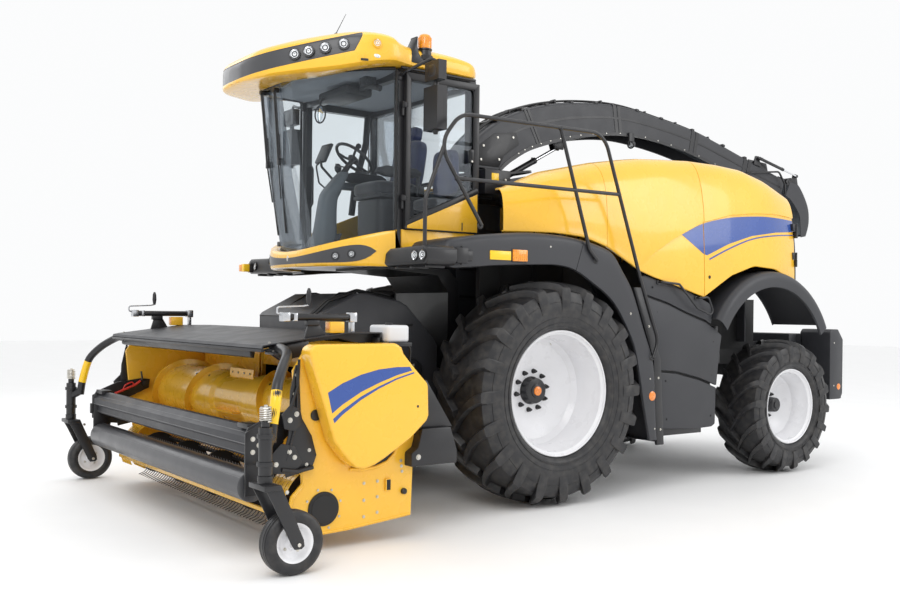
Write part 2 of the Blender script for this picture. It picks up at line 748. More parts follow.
def cab_nose():
    """The yellow belt under the windscreen: low in the middle and high at its corners."""
    low = CAB_FLOOR_BOTTOM - 0.02
    sections = []
    for x in [-NOSE_HALF] + across(CAB_HALF) + [NOSE_HALF]:
        share = abs(x) / NOSE_HALF
        outer = nose_y(x, -1.95, -1.46, NOSE_HALF)
        top = 2.245 + 0.165 * share ** 2
        floor_x = max(-CAB_HALF, min(CAB_HALF, x))
        inner = nose_y(floor_x, CAB_NOSE_Y, CAB_POST_Y, CAB_HALF) - SEAT_GAP
        glass = inner - 0.022 - 0.045 * share ** 2
        sections.append([
            (x, inner, low),
            (x, inner, CAB_FLOOR_TOP),
            (x, glass, CAB_FLOOR_TOP + 0.012),
            (x, glass, top),
            (x, outer + 0.02, top),
            (x, outer, top - 0.05),
            (x, outer, low + 0.06),
            (x, outer + 0.05, low),
        ])
    node("cab_nose", [loft(sections)], YELLOW, machine)


ROOF_STATIONS = (
    # y, half width for the drawn cab, underside, edge height, height at the centre line
    (-2.46, 0.22, 3.66, 3.79, 3.84),
    (-2.40, 0.42, 3.66, 3.83, 3.90),
    (-2.28, 0.58, 3.67, 3.87, 3.95),
    (-2.12, 0.73, 3.69, 3.91, 4.00),
    (-1.95, 0.87, 3.71, 3.95, 4.04),
    (-1.80, 0.97, 3.74, 3.98, 4.07),
    (-1.66, 1.02, 3.77, 4.00, 4.08),
    (-1.50, 1.03, 3.80, 4.00, 4.08),
    (-1.40, 1.01, 3.80, 3.95, 4.06),
    (-1.25, 0.97, 3.80, 3.94, 4.04),
    (-0.90, 0.965, 3.80, 3.95, 4.03),
    (-0.62, 0.94, 3.80, 3.94, 4.01),
    (-0.50, 0.86, 3.80, 3.90, 3.96),
)


def cab_x(x):
    """A place across the roof, in proportion to the cab's width."""
    return x * CAB_HALF / DRAWN_CAB_HALF


def cab_roof():
    """The roof with its visor, two beacons and the antenna; its room takes the posts' heads."""
    sections = []
    for y, drawn_half, under, edge, top in ROOF_STATIONS:
        half = cab_x(drawn_half)
        right = [
            (0.0, under),
            (half - 0.08, under),
            (half, under + 0.3 * (edge - under)),
            (half - 0.01, edge),
            (half - 0.10, edge + 0.55 * (top - edge)),
            (half * 0.5, top - 0.1 * (top - edge)),
            (0.0, top),
        ]
        left = [(-x, z) for x, z in reversed(right[1:-1])]
        sections.append([(x, y, z) for x, z in right + left])
    solids = [loft(sections)]
    for sign in (1, -1):
        solids.append(upright(sign, cab_x(0.93), -1.12, 3.92, 4.12, 0.055, segments=14))
    x = cab_x(0.60)
    solids.append(rod((x, -1.83, 4.02), (x, -1.80, 4.09), 0.022, segments=8))
    solids.append(rod((x, -1.82, 4.04), (x, -1.715, 4.26), 0.007, segments=6))
    room = cab_ring(GLASS_TOP_Y - 0.05, CAB_POST_Y - 0.03, CAB_HALF + 0.03, CAB_REAR_Y)
    node("cab_roof", solids, YELLOW, machine, cuts=[plate(room, "z", 3.4, ROOF_BOTTOM)])


SEAT_BACK = ((-0.80, 2.70), (-0.68, 2.70), (-0.62, 3.30), (-0.72, 3.34))
HEADREST = ((-0.72, 3.30), (-0.62, 3.26), (-0.60, 3.50), (-0.70, 3.52))
STEERING_WHEEL_CENTRE = Vector((0, -1.34, 3.06))
STEERING_WHEEL_AXIS = Vector((0, 0.5, 0.85)).normalized()
STEERING_WHEEL_RADIUS = 0.178
STEERING_WHEEL_GRIP = 0.014


def driver_seat():
    cushion = box((-0.26, -1.15, 2.62), (0.26, -0.68, 2.76))
    pedestal = box((-0.18, -1.05, CAB_FLOOR_TOP + SEAT_GAP), (0.18, -0.75, 2.64))
    back = plate(SEAT_BACK, "x", -0.24, 0.24)
    headrest = plate(HEADREST, "x", -0.13, 0.13)
    node("driver_seat", [cushion, pedestal, back, headrest], SEAT_CLOTH, machine)


def steering_console():
    """The column from the floor, and the steering wheel on it."""
    foot = CAB_FLOOR_TOP + SEAT_GAP
    column = plate([(-1.68, foot), (-1.45, foot), (-1.30, 2.98), (-1.38, 3.02)], "x", -0.09, 0.09)
    centre, axis = STEERING_WHEEL_CENTRE, STEERING_WHEEL_AXIS
    radius, grip = STEERING_WHEEL_RADIUS, STEERING_WHEEL_GRIP
    profile = [(-grip, radius), (0.0, radius - grip), (grip, radius), (0.0, radius + grip)]
    wheel = turned(profile, (0, 0, 0), "z", steps=20)
    turn = axis.to_track_quat("Z", "Y").to_matrix().to_4x4()
    wheel.data.transform(Matrix.Translation(centre) @ turn)
    spokes = []
    for degrees in (90, 210, 330):
        angle = math.radians(degrees)
        outward = turn.to_3x3() @ Vector((math.cos(angle), math.sin(angle), 0))
        spokes.append(rod(centre, centre + outward * (radius - 0.002), 0.012, segments=8))
    hub = rod(centre - axis * 0.12, centre + axis * 0.02, 0.035, segments=12)
    node("steering_console", [column, hub, wheel] + spokes, DARK, machine)


def cab_door():
    axis = pivot("cab_door_axis", (DOOR_HINGE_X, DOOR_HINGE_Y, 3.0), machine)
    x_low, x_high = CAB_HALF + 0.006, CAB_HALF + 0.006 + DOOR_THICKNESS
    front, rear = DOOR_HINGE_Y + 0.015, CAB_REAR_Y + 0.01
    top = CAB_TOP - 0.03
    corners = [(front, DOOR_BOTTOM), (rear, DOOR_BOTTOM), (rear, top), (front, top)]
    frame = plate(corners, "x", x_low, x_high)
    inset = 2 * SEAT_GAP
    window, pane = [], []
    for y, z, toward_y, toward_z in (
        (front + 0.04, DOOR_BOTTOM + 0.06, 1, 1),
        (rear - 0.05, 2.80, -1, 1),
        (rear - 0.05, top - 0.05, -1, -1),
        (front + 0.04, top - 0.05, 1, -1),
    ):
        window.append((y, z))
        pane.append((y + toward_y * inset, z + toward_z * inset))
    solids = [frame]
    for level in DOOR_HINGE_LEVELS:
        low, high = level + DOOR_KNUCKLE + SEAT_GAP, level + 2 * DOOR_KNUCKLE
        solids.append(upright(1, DOOR_HINGE_X, DOOR_HINGE_Y, low, high, HINGE_PIN_RADIUS, segments=10))
        corner = (DOOR_HINGE_X - 0.008, DOOR_HINGE_Y, low)
        solids.append(box(corner, (DOOR_HINGE_X + 0.008, front + 0.01, high)))
    node("cab_door", solids, YELLOW, axis, cuts=[plate(window, "x", x_low - 0.1, x_high + 0.1)])
    glass_x = x_low + 0.013
    node("cab_door_glass", [plate(pane, "x", glass_x, glass_x + GLASS_THICKNESS)], GLASS, axis)


# Body
BODY_EDGE = (
    # y, top edge height, bottom edge height
    (-0.42, 2.82, 2.44),
    (0.00, 3.00, 2.44),
    (0.35, 3.08, 2.42),
    (0.66, 3.15, 2.34),
    (1.08, 3.22, 2.14),
    (with_axle(1.55), 3.27, 2.02),
    (SEAM_REAR_Y, 3.30, 1.90),
    (with_axle(2.45), 3.30, 2.13),
    (with_axle(2.82), 3.28, 2.24),
    (with_axle(3.20), 3.20, 2.22),
    (BODY_REAR_Y, 3.05, 2.08),
)
TOP_EDGE = 1
BOTTOM_EDGE = 2
BODY_DRAWS_IN_Y = with_axle(2.9)


def edge_at(y, column):
    """The height of the body's top or bottom edge at y."""
    for low, high in zip(BODY_EDGE, BODY_EDGE[1:]):
        if low[0] <= y <= high[0]:
            share = (y - low[0]) / (high[0] - low[0])
            return low[column] + (high[column] - low[column]) * share
    return (BODY_EDGE[0] if y < BODY_EDGE[0][0] else BODY_EDGE[-1])[column]


def body_half(y):
    """Half width of the body along its length: it draws in a little at both ends."""
    rear = max(0.0, (y - BODY_DRAWS_IN_Y) / (BODY_REAR_Y - BODY_DRAWS_IN_Y))
    front = max(0.0, (0.3 - y) / 0.9)
    return BODY_HALF - 0.10 * rear ** 2 - 0.06 * front ** 2


def body_curve(foot_x, head_x, bottom, top, steps=6):
    """The body's side seen from the rear, as (x, z): upright at its foot and leaning in at its head."""
    curve = []
    for i in range(steps + 1):
        angle = i / steps * math.pi / 2
        lean = (1 - math.cos(angle)) ** 1.6
        curve.append((foot_x - (foot_x - head_x) * lean, bottom + (top - bottom) * math.sin(angle)))
    return curve


def side_sheet(sign, start, end):
    stations = sorted({start, end} | {row[0] for row in BODY_EDGE if start < row[0] < end})
    rows = []
    for y in stations:
        curve = body_curve(body_half(y), BODY_TOP_HALF, edge_at(y, BOTTOM_EDGE), edge_at(y, TOP_EDGE))
        row = [at(sign, x, y, z) for x, z in curve]
        rows.append(row if sign > 0 else row[::-1])
    return sheet(rows, PANEL_THICKNESS)


# Struts under the side panel stand between the ladder and the seam
LADDER_LINE = ((1.29, 0.45), (1.235, 1.27), (0.945, 1.97))
LADDER_DEPTH = 0.10
STRUT_FIRST_Y = LADDER_LINE[1][0] + LADDER_DEPTH + 0.06
STRUT_LAST_Y = SEAM_REAR_Y - 0.05
PANEL_STRUTS = [min(max(with_axle(y), STRUT_FIRST_Y), STRUT_LAST_Y) for y in (1.50, 1.90)]
PANEL_STRUT_TOP = 2.34
HINGE_LEAF = 0.08
HINGE_LEAF_X = SIDE_HINGE_X - 0.06


def side_panels(side, sign):
    """The fixed front panel of one side, and the service door behind it."""
    solids = [side_sheet(sign, SEAM_FRONT_Y, SEAM_REAR_Y)]
    for y in PANEL_STRUTS:
        seat_top = PANEL_STRUT_TOP + 0.08
        solids.append(side_box(sign, 1.22, 1.385, y - 0.04, y + 0.04, PANEL_STRUT_TOP, seat_top))
    solids.append(side_box(sign, 1.30, 1.375, -0.10, -0.02, 2.397, 2.52))
    node(f"side_panel_{side}", solids, YELLOW, machine)

    axis = pivot(f"side_door_{side}_axis", at(sign, SIDE_HINGE_X, SIDE_HINGE_Y, 2.6), machine)
    solids = [side_sheet(sign, SEAM_REAR_Y + PANEL_GAP, BODY_REAR_Y)]
    for level in SIDE_HINGE_LEVELS:
        solids += side_hinge(sign, level + SEAT_GAP, level + HINGE_LEAF, BODY_REAR_Y - 0.02, SIDE_HINGE_Y)
    node(f"side_door_{side}", solids, YELLOW, axis)


def side_hinge(sign, low, high, leaf_front, leaf_rear):
    """One half of a side door's hinge: its round knuckle and the leaf that holds it."""
    knuckle = upright(sign, SIDE_HINGE_X, SIDE_HINGE_Y, low, high, HINGE_PIN_RADIUS, segments=10)
    return [knuckle, side_box(sign, HINGE_LEAF_X, SIDE_HINGE_X, leaf_front, leaf_rear, low, high)]


DECK_STATIONS = (-0.30, 0.35, 0.66, 1.08, 1.55, 2.02, 2.45, 2.82, 3.20, 3.60, 3.688)
DECK_THICKNESS = 0.03


def hood():
    """The deck over the engine, the rear wall, and the cradle that the spout lies in."""
    rows = []
    half = BODY_TOP_HALF - 0.035
    for y in map(with_axle, DECK_STATIONS):
        z = edge_at(y, TOP_EDGE) - DECK_THICKNESS
        rows.append([(x, y, z) for x in (half, -half)])
    solids = [sheet(rows, DECK_THICKNESS)]
    hatch = rod((0, SPOUT_AXIS_Y, 2.5), (0, SPOUT_AXIS_Y, 3.6), 0.58, segments=28)

    bottom, top = BODY_EDGE[-1][BOTTOM_EDGE], BODY_EDGE[-1][TOP_EDGE]
    right = [(0.62, RAIL_TOP + SEAT_GAP), (0.62, bottom - 0.01)]
    right += body_curve(1.29, BODY_TOP_HALF, bottom, top)
    outline = right + [(-x, z) for x, z in reversed(right)]
    solids.append(plate(outline, "y", REAR_WALL_Y, REAR_WALL_Y + REAR_WALL_THICKNESS))
    for sign in (1, -1):
        for level in SIDE_HINGE_LEVELS:
            solids += side_hinge(sign, level - HINGE_LEAF, level, SIDE_HINGE_Y, REAR_WALL_Y + 0.02)
    pad = spout_underside(CRADLE_Y) - CRADLE_UNDER_SPOUT
    solids.append(box((-0.05, CRADLE_Y - 0.06, 3.0), (0.05, CRADLE_Y + 0.06, pad - 0.015)))
    solids.append(box((-0.16, CRADLE_Y - 0.10, pad - 0.035), (0.16, CRADLE_Y + 0.10, pad)))
    node("rear_hood", solids, DARK, machine, cuts=[hatch])


# Outlines of the front fender, as (y, z)
FENDER_OUTER = (
    (-1.30, 2.10),
    (-1.24, 2.30),
    (-0.85, 2.37),
    (-0.38, 2.41),
    (0.25, 2.38),
    (0.63, 2.28),
    (0.90, 1.94),
    (1.20, 1.25),
    (1.26, 0.51),
)
FENDER_INNER = (
    (1.20, 0.51),
    (1.14, 1.24),
    (0.86, 1.88),
    (0.60, 2.20),
    (0.24, 2.33),
    (-0.38, 2.36),
    (-0.85, 2.32),
    (-1.20, 2.26),
    (-1.25, 2.10),
)
FENDER_SKIRT = (
    (1.15, 0.51),
    (1.05, 0.90),
    (0.95, 1.45),
    (0.62, 1.87),
    (0.14, 2.10),
    (-0.28, 2.14),
    (-0.79, 2.12),
    (-1.05, 2.08),
)
FENDER_BRACKET_Y = -0.28
INNER_WALL = ((-0.34, 1.30), (-0.34, 2.34), (1.12, 2.20), (1.12, 1.30))

# The panel between the front fender and the rear wheel, as (y, z), from its low front corner
LOWER_PANEL = (
    (1.42, 0.58),
    (with_axle(2.20), 0.55),
    (with_axle(2.22), 1.00),
    (with_axle(2.34), 1.50),
    (with_axle(2.24), 1.70),
    (SEAM_REAR_Y, 1.84),
    (with_axle(1.55), 1.96),
    (1.12, 2.07),
    (1.11, 2.00),
    (1.27, 1.60),
    (1.39, 1.16),
)


def front_fender(side, sign):
    """The fender over the drive wheel with its skirt, lamp box, inner wall and bracket."""
    band = side_plate(sign, FENDER_OUTER + FENDER_INNER, FENDER_INNER_X, FENDER_OUTER_X)
    skirt_x = FENDER_OUTER_X - FENDER_PLATE
    skirt = side_plate(sign, FENDER_OUTER + FENDER_SKIRT, skirt_x, FENDER_OUTER_X)
    lamp_box = side_box(sign, 1.00, 1.66, -1.56, -1.27, 2.09, 2.25)
    wall = side_plate(sign, INNER_WALL, 0.70, 0.73)
    solids = [band, skirt, lamp_box, wall] + outrigger(sign, FENDER_BRACKET_Y, 0.72, 2.38)
    front, rear = FENDER_BRACKET_Y - 0.04, FENDER_BRACKET_Y + 0.04
    solids.append(side_box(sign, 0.64, 1.02, front, rear, 2.28, 2.38))
    solids.append(side_box(sign, 0.64, 0.72, 0.90, 0.98, 2.16, 2.21))
    node(f"front_fender_{side}", solids, DARK, machine)


def rear_fender(side, sign):
    """The arch over the rear wheel and the lower side panel in front of it."""
    centre, radius = REAR_ARCH_CENTRE, REAR_ARCH_RADIUS
    crest = arc(centre, radius, 148, 28, 10)
    lip = side_plate(sign, crest + arc(centre, radius - 0.17, 28, 148, 10), 1.40, 1.46)
    band = side_plate(sign, crest + arc(centre, radius - 0.03, 28, 148, 10), 0.70, 1.45)
    solids = [band, lip, side_plate(sign, LOWER_PANEL, 1.33, 1.37)]
    solids += outrigger(sign, with_axle(2.28), 1.36, 1.66)
    for y in PANEL_STRUTS:
        solids += outrigger(sign, y, 1.34, PANEL_STRUT_TOP - SEAT_GAP)
    node(f"rear_fender_{side}", solids, DARK, machine)


def rear_bumper():
    """The counterweight across the rear, with a box at each end behind the wheel."""
    front = RAIL_REAR_Y + 0.14
    solids = [box((-0.80, RAIL_REAR_Y + SEAT_GAP, 0.95), (0.80, front + 0.02, 1.50))]
    solids.append(box((-0.95, front, 0.95), (0.95, front + 0.18, 1.50)))
    for sign in (1, -1):
        solids.append(side_box(sign, 0.85, 1.26, front, front + 0.26, 0.74, 1.56))
    node("rear_bumper", solids, DARK, machine)


# The bars of the platform's handrail, each as (y, z) points in one upright plane
HANDRAIL_TOP = (
    (-0.93, 2.44),
    (-1.37, 3.07),
    (-1.16, 3.34),
    (0.47, 3.36),
    (0.96, 2.06),
    (1.22, 1.46),
    (1.15, 1.30),
)
HANDRAIL_BARS = (
    # points, radius of the bends
    (HANDRAIL_TOP, 0.22),
    (((-1.19, 2.81), (0.67, 2.82)), 0.0),
    (((-0.06, 3.35), (0.30, 2.30), (0.40, 2.20)), 0.0),
    (((-1.322, 3.06), (-1.50, 2.62), (-1.50, 2.25 + SEAT_GAP)), 0.10),
)
HANDRAIL_RADIUS = 0.017


def handrail():
    x = FENDER_OUTER_X + SEAT_GAP + HANDRAIL_RADIUS
    bars = [
        tube([(x, y, z) for y, z in points], HANDRAIL_RADIUS, bend=bend, resolution=1)
        for points, bend in HANDRAIL_BARS
    ]
    node("handrail_left", bars, FRAME_BLACK, machine)


LADDER_TREADS = (0.48, 0.84, 1.20, 1.55, 1.88)
LADDER_INNER_X = 0.93
LADDER_OUTER_X = 1.45
LADDER_CHEEK = 0.03


def ladder():
    """Two cheeks, bent at half height, with treads between them and a stay to the chassis."""
    front = list(LADDER_LINE)
    rear = [(y + LADDER_DEPTH, z) for y, z in reversed(front)]
    inner, outer = LADDER_INNER_X, LADDER_OUTER_X - LADDER_CHEEK
    solids = [plate(front + rear, "x", x, x + LADDER_CHEEK) for x in (inner, outer)]
    for level in LADDER_TREADS:
        (y0, z0), (y1, z1) = LADDER_LINE[:2] if level < LADDER_LINE[1][1] else LADDER_LINE[1:]
        y = y0 + (y1 - y0) * (level - z0) / (z1 - z0)
        low = (inner + 0.01, y + 0.005, level)
        solids.append(box(low, (outer + 0.01, y + LADDER_DEPTH - 0.005, level + 0.03)))
    solids.append(box((RAIL_SIDE + SEAT_GAP, 1.27, 1.26), (inner + 0.02, 1.31, 1.34)))
    node("ladder_left", solids, FRAME_BLACK, machine)


# Spout
SPOUT_STATIONS = (
    # outer y, outer z, inner y, inner z, narrower than SPOUT_HALF by
    (-0.10, 3.16, 0.34, 3.16, 0.000),
    (-0.03, 3.38, 0.40, 3.21, 0.000),
    (0.20, 3.58, 0.50, 3.28, 0.000),
    (0.50, 3.75, 0.72, 3.40, 0.002),
    (0.92, 3.89, 1.08, 3.52, 0.004),
    (1.41, 3.98, 1.50, 3.62, 0.006),
    (2.04, 4.02, 2.08, 3.70, 0.008),
    (2.70, 3.96, 2.66, 3.68, 0.010),
    (3.40, 3.86, 3.34, 3.58, 0.014),
    (4.29, 3.64, 4.21, 3.37, 0.018),
    (5.02, 3.46, 4.94, 3.20, 0.022),
)
SPOUT_CLOSED = 6
DEFLECTOR_STATIONS = (
    # outer y, outer z, inner y, inner z, narrower than SPOUT_HALF by
    (5.15, 3.50, 5.03, 3.26, 0.002),
    (5.34, 3.40, 5.16, 3.20, 0.002),
    (5.52, 3.16, 5.32, 3.04, 0.002),
    (5.56, 2.94, 5.36, 2.90, 0.008),
    (5.50, 2.76, 5.38, 2.74, 0.012),
)
DEFLECTOR_WALL = 0.008

# Profiles turned about the spout's upright axis, as (z, radius)
SPOUT_SEAT_Z = 2.90
SPOUT_NECK = (
    (SPOUT_SEAT_Z, 0.25),
    (SPOUT_SEAT_Z, 0.34),
    (2.87, 0.34),
    (2.87, 0.55),
    (2.84, 0.55),
    (2.84, 0.28),
    (2.20, 0.28),
    (2.20, 0.25),
)
TURNTABLE_LOW = SPOUT_SEAT_Z + SEAT_GAP
TURNTABLE_RING = (
    (TURNTABLE_LOW + 0.19, 0.25),
    (TURNTABLE_LOW + 0.19, 0.27),
    (TURNTABLE_LOW + 0.05, 0.27),
    (TURNTABLE_LOW + 0.05, 0.34),
    (TURNTABLE_LOW, 0.34),
    (TURNTABLE_LOW, 0.25),
)

# Plates on the spout's sides, as (y, z)
LIFT_EAR = ((-0.16, 2.93), (0.02, 2.93), (0.00, 3.29), (-0.16, 3.29))
RAM_BASE_LUG = ((0.30, 2.92), (0.44, 2.92), (0.52, 3.02), (0.50, 3.12), (0.43, 3.12))
RAM_EYE_LUG = ((1.16, 3.56), (1.19, 3.48), (1.31, 3.48), (1.34, 3.60))
RAM_MAST = ((4.38, 3.60), (4.52, 3.58), (4.48, 3.71), (4.42, 3.71))
DEFLECTOR_TONGUE = ((4.86, 3.44), (4.90, 3.50), (5.13, 3.46), (5.13, 3.42), (4.90, 3.38))
DEFLECTOR_CHEEK = ((5.06, 3.40), (5.04, 3.44), (5.07, 3.48), (5.20, 3.48), (5.22, 3.36))
DEFLECTOR_LEVER = ((5.14, 3.44), (5.18, 3.55), (5.25, 3.55), (5.28, 3.42))
LIFT_PIN_RADIUS = 0.03
DEFLECTOR_PIN_RADIUS = 0.022


def spout_underside(y):
    """The height of the spout's lower edge at y."""
    for low, high in zip(SPOUT_STATIONS, SPOUT_STATIONS[1:]):
        if low[2] <= y <= high[2]:
            return low[3] + (high[3] - low[3]) * (y - low[2]) / (high[2] - low[2])
    return SPOUT_STATIONS[-1][3]


def channel(stations, wall, closed_until):
    """A duct of top and side walls through the stations, with a bottom for the first of them."""
    rows = []
    for outer_y, outer_z, inner_y, inner_z, narrower in stations:
        half = SPOUT_HALF - narrower
        left = [(half, inner_y, inner_z), (half, outer_y, outer_z)]
        rows.append(left + [(-x, y, z) for x, y, z in reversed(left)])
    skip = {(r, 3) for r in range(closed_until, len(rows) - 1)}
    return sheet(rows, wall, closed=True, skip=skip)


def smoothed(rows, per_gap=2):
    """Rows of numbers with further rows between them, on a smooth curve through all of them."""
    padded = [rows[0]] + list(rows) + [rows[-1]]
    made = []
    for a, b, c, d in zip(padded, padded[1:], padded[2:], padded[3:]):
        for i in range(per_gap):
            t = i / per_gap
            row = []
            for p, q, r, s in zip(a, b, c, d):
                square, cube = 2 * p - 5 * q + 4 * r - s, 3 * q - p - 3 * r + s
                row.append(0.5 * (2 * q + (r - p) * t + square * t ** 2 + cube * t ** 3))
            made.append(tuple(row))
    return made + [tuple(rows[-1])]


def spout():
    """The discharge spout: its base, the turntable on it, the lifting arch and the deflector."""
    centre = (0, SPOUT_AXIS_Y, 0)
    base = turned(SPOUT_NECK, centre, "z", steps=28)
    chute = box((-0.30, -0.30, RAIL_TOP + SEAT_GAP), (0.30, 0.50, 2.22))
    feet = box((-RAIL_SIDE, 0.20, RAIL_TOP + SEAT_GAP), (RAIL_SIDE, 0.40, RAIL_TOP + 0.04))
    node("spout_base", [base, chute, feet], DARK, machine)

    turn_axis = pivot("spout_turn_axis", (0, SPOUT_AXIS_Y, SPOUT_TURN_Z), machine)
    solids = [turned(TURNTABLE_RING, centre, "z", steps=28)]
    ear_x = SPOUT_HALF + 0.035
    side_x = SPOUT_HALF + 0.012
    for sign in (1, -1):
        solids.append(side_plate(sign, LIFT_EAR, ear_x, ear_x + 0.025))
        solids.append(side_rod(
            sign, SPOUT_PIVOT_Y, SPOUT_PIVOT_Z, side_x + SEAT_GAP, ear_x + 0.01, LIFT_PIN_RADIUS, segments=12
        ))
        solids.append(side_plate(sign, RAM_BASE_LUG, 0.036, 0.052))
    base_y, base_z = SPOUT_RAM[:2]
    bore = bore_radius(SPOUT_RAM_SHAFT, 12)
    hole = rod((-0.1, base_y, base_z), (0.1, base_y, base_z), bore, segments=12)
    node("spout_turntable", solids, FRAME_BLACK, turn_axis, cuts=[hole])

    lift_axis = pivot("spout_lift_axis", (0, SPOUT_PIVOT_Y, SPOUT_PIVOT_Z), turn_axis)
    solids = [channel(smoothed(SPOUT_STATIONS), SPOUT_WALL, 2 * SPOUT_CLOSED)]
    for sign in (1, -1):
        solids.append(side_rod(
            sign, SPOUT_PIVOT_Y, SPOUT_PIVOT_Z, SPOUT_HALF - 0.008, side_x, LIFT_PIN_RADIUS, segments=12
        ))
        solids.append(side_plate(sign, RAM_EYE_LUG, 0.030, 0.044))
        solids.append(side_plate(sign, DEFLECTOR_TONGUE, SPOUT_HALF - 0.034, SPOUT_HALF - 0.020))
        solids.append(side_rod(
            sign, DEFLECTOR_PIVOT_Y, DEFLECTOR_PIVOT_Z, SPOUT_HALF - 0.030, SPOUT_HALF - 0.0105,
            DEFLECTOR_PIN_RADIUS, segments=12
        ))
    solids.append(plate(RAM_MAST, "x", SPOUT_HALF - 0.025, SPOUT_HALF))
    ends = (SPOUT_HALF - 0.010, SPOUT_HALF + 0.0045)
    solids.append(side_rod(1, *DEFLECTOR_RAM[:2], *ends, 0.015, segments=10))
    node("spout_arch", solids, DARK, lift_axis)

    hinge = pivot("deflector_axis", (0, DEFLECTOR_PIVOT_Y, DEFLECTOR_PIVOT_Z), lift_axis)
    solids = [channel(DEFLECTOR_STATIONS, DEFLECTOR_WALL, 0)]
    for sign in (1, -1):
        solids.append(side_plate(sign, DEFLECTOR_CHEEK, SPOUT_HALF - 0.0102, SPOUT_HALF))
    solids.append(plate(DEFLECTOR_LEVER, "x", SPOUT_HALF - 0.010, SPOUT_HALF + 0.004))
    node("spout_deflector", solids, DARK, hinge)

    rams(turn_axis, lift_axis)


def rams(turn_axis, lift_axis):
    """The ram that lifts the spout and the one that tilts its deflector."""
    base_y, base_z, eye_y, eye_z = SPOUT_RAM[:4]
    barrels, rods = ram(SPOUT_RAM, sides=(1,))
    axis = pivot("spout_ram_axis", (0, base_y, base_z), turn_axis)
    pin = rod((-0.0535, base_y, base_z), (0.0535, base_y, base_z), SPOUT_RAM_SHAFT, segments=12)
    node("spout_ram_barrel", barrels + [pin], FRAME_BLACK, axis)
    axis = pivot("spout_ram_rod_axis", (0, eye_y, eye_z), axis)
    eye = rod((-0.024, eye_y, eye_z), (0.024, eye_y, eye_z), 0.026, segments=12)
    node("spout_ram_rod", rods + [eye], STEEL, axis)

    base_y, base_z, eye_y, eye_z, side_x = DEFLECTOR_RAM[:5]
    barrels, rods = ram(DEFLECTOR_RAM, sides=(1,))
    axis = pivot("deflector_ram_axis", (side_x, base_y, base_z), lift_axis)
    node("deflector_ram_barrel", barrels, FRAME_BLACK, axis)
    axis = pivot("deflector_ram_rod_axis", (side_x, eye_y, eye_z), axis)
    inner_x = SPOUT_HALF + 0.004 + SEAT_GAP
    eye = rod((inner_x, eye_y, eye_z), (side_x + 0.012, eye_y, eye_z), 0.018, segments=12)
    node("deflector_ram_rod", rods + [eye], STEEL, axis)


# Header: outlines of its plates, as (y, z)
HEADER_FLOOR = ((HEADER_BACK_Y, 0.20), (HEADER_BACK_Y, 0.24), (-2.24, 0.40), (-2.26, 0.37))
HEADER_SIDE = (
    (-1.80, 0.18),
    (-2.34, 0.13),
    (-2.60, 0.12),
    (-2.84, 0.36),
    (-2.72, 0.50),
    (-2.80, 1.30),
    (-2.70, 1.46),
    (-1.90, 1.46),
    (-1.76, 1.10),
)
HEADER_COVER = (
    (-2.76, 1.46),
    (-2.70, 1.485),
    (-2.05, 1.49),
    (-1.99, 1.42),
    (-1.76, 1.18),
    (-1.75, 0.93),
    (-1.91, 0.79),
    (-2.13, 0.66),
    (-2.31, 0.59),
    (-2.44, 0.66),
    (-2.56, 0.81),
)
FEEDER_SIDE = (
    (-0.72, 0.72),
    (-0.72, 1.42),
    (-1.10, 1.80),
    (-1.52, 1.88),
    (HEADER_BACK_Y + SEAT_GAP, 1.68),
    (HEADER_BACK_Y + SEAT_GAP, 0.36),
    (-1.55, 0.50),
)
FEEDER_ARM = ((-0.84, 0.85), (-0.84, 1.25), (-0.60, 1.17), (-0.52, 1.10), (-0.52, 1.00), (-0.60, 0.93))
FEEDER_LUG = ((-1.49, 0.55), (-1.46, 0.41), (-1.34, 0.41), (-1.28, 0.60))
BEAM_TOP = 1.48
TOP_PLATE = (
    (-2.97, 1.44),
    (-2.97, 1.465),
    (-2.30, 1.555),
    (-1.98, 1.555),
    (-1.98, BEAM_TOP + SEAT_GAP),
    (-2.16, BEAM_TOP + SEAT_GAP),
    (-2.30, 1.525),
)
THROAT_HALF = 0.45
THROAT_BOTTOM = 0.62
THROAT_TOP = 1.22


def header():
    """The pick-up header on its feeder house; all of it lifts about the trunnions."""
    lift = pivot("header_lift_axis", (0, LIFT_PIVOT_Y, LIFT_PIVOT_Z), machine)
    feeder_house(lift)
    back = box((-HEADER_HALF, HEADER_BACK_Y - 0.04, 0.20), (HEADER_HALF, HEADER_BACK_Y, 1.44))
    beam = box((-HEADER_HALF, HEADER_BACK_Y - 0.16, 1.36), (HEADER_HALF, HEADER_BACK_Y, BEAM_TOP))
    solids = [back, beam, plate(HEADER_FLOOR, "x", -HEADER_HALF, HEADER_HALF)]
    outer_face = HEADER_HALF + HEADER_SHEET
    for sign in (1, -1):
        solids.append(side_plate(sign, HEADER_SIDE, HEADER_HALF, outer_face))
    solids.append(side_plate(-1, HEADER_COVER, HEADER_HALF + 0.01, HEADER_HALF + 0.14))
    opening = box(
        (-THROAT_HALF, HEADER_BACK_Y - 0.3, THROAT_BOTTOM), (THROAT_HALF, HEADER_BACK_Y + 0.1, THROAT_TOP)
    )
    node("header_frame", solids, YELLOW, lift, cuts=[opening])
    cover = side_plate(1, HEADER_COVER, outer_face + SEAT_GAP, HEADER_HALF + 0.20)
    node("header_cover_left", [cover], YELLOW, lift)
    header_top_frame(lift)
    auger(lift)
    pickup_reel(lift)
    wind_guard(lift)
    for side, sign in (("left", 1), ("right", -1)):
        gauge_wheel(side, sign, lift)


